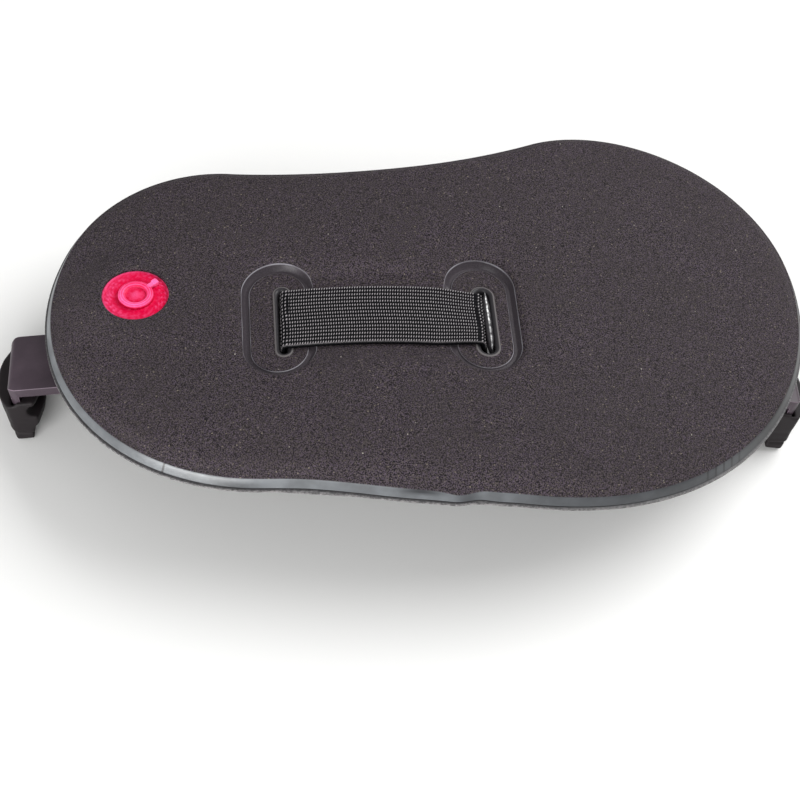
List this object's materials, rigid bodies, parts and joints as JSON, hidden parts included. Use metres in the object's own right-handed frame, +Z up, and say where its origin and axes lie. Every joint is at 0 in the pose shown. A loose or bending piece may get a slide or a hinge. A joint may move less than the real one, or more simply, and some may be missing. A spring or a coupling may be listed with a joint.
{
  "type": "violin shoulder rest",
  "caption": "Bean-shaped inflatable cushion strapped to an arched bar, with sliding L-shaped arms in rubber boots that grip a violin's edge.",
  "frame": {"origin": "midway between the two legs and in the middle of the cushion's depth, level with the soles of the boots", "axes": "+X along the bar towards the large end of the cushion, +Y towards the hollow side of the cushion, +Z up, away from the violin's back"},
  "size_m": [0.2248, 0.135, 0.0461],
  "materials": {
    "bar_plastic": "satin moulded black",
    "arm_plastic": "satin moulded black",
    "boot_rubber": "matte black rubber",
    "screw_steel": "satin zinc-plated steel",
    "insert_brass": "machined brass",
    "cushion_foam": "fine-grained black foam skin",
    "base_vinyl": "matte black vinyl sheet",
    "strap_elastic": "ribbed black woven elastic",
    "stitch_thread": "dark thread",
    "valve_vinyl": "soft translucent red vinyl",
    "flap_film": "thin translucent vinyl film"
  },
  "bodies": {
    "bridge": {"bridge_bar": "bar_plastic", "threaded_inserts": "insert_brass", "left_clamp_washer": "screw_steel", "right_clamp_washer": "screw_steel", "cushion_base": "base_vinyl", "strap": "strap_elastic", "strap_stitching": "stitch_thread"},
    "left_arm": {"left_arm": "arm_plastic", "left_boot": "boot_rubber"},
    "right_arm": {"right_arm": "arm_plastic", "right_boot": "boot_rubber"},
    "left_screw": {"left_clamp_screw": "screw_steel"},
    "right_screw": {"right_clamp_screw": "screw_steel"},
    "cushion_crown": {"cushion_top": "cushion_foam", "valve_body": "valve_vinyl"},
    "valve_plug": {"valve_plug": "valve_vinyl"},
    "valve_flap": {"valve_flap": "flap_film"}
  },
  "joints": [
    {"name": "cushion_inflate", "type": "slide", "parent": "bridge", "child": "cushion_crown", "axis": [0, 0, 1], "range_m": [0, 0.014], "deforming": ["cushion_top"]},
    {"name": "valve_plug_pull", "type": "slide", "parent": "cushion_crown", "child": "valve_plug", "axis": [-0.1564, 0, 0.9877], "range_m": [0, 0.006]},
    {"name": "valve_flap_open", "type": "hinge", "parent": "cushion_crown", "child": "valve_flap", "pos_m": [-0.07104, 0.00115, 0.03263], "axis": [0, -1, 0], "range_deg": [0, 15]},
    {"name": "left_arm_slide", "type": "slide", "parent": "bridge", "child": "left_arm", "axis": [-0.9877, 0, -0.1564], "range_m": [-0.014, 0.004]},
    {"name": "right_arm_slide", "type": "slide", "parent": "bridge", "child": "right_arm", "axis": [0.9877, 0, -0.1564], "range_m": [-0.014, 0.004]},
    {"name": "left_screw_turn", "type": "hinge", "parent": "bridge", "child": "left_screw", "pos_m": [-0.07075, -0.01075, 0.02657], "axis": [-0.1564, 0, 0.9877], "range_deg": [0, 360]},
    {"name": "right_screw_turn", "type": "hinge", "parent": "bridge", "child": "right_screw", "pos_m": [0.07075, -0.01075, 0.02657], "axis": [0.1564, 0, 0.9877], "range_deg": [0, 360]}
  ]
}
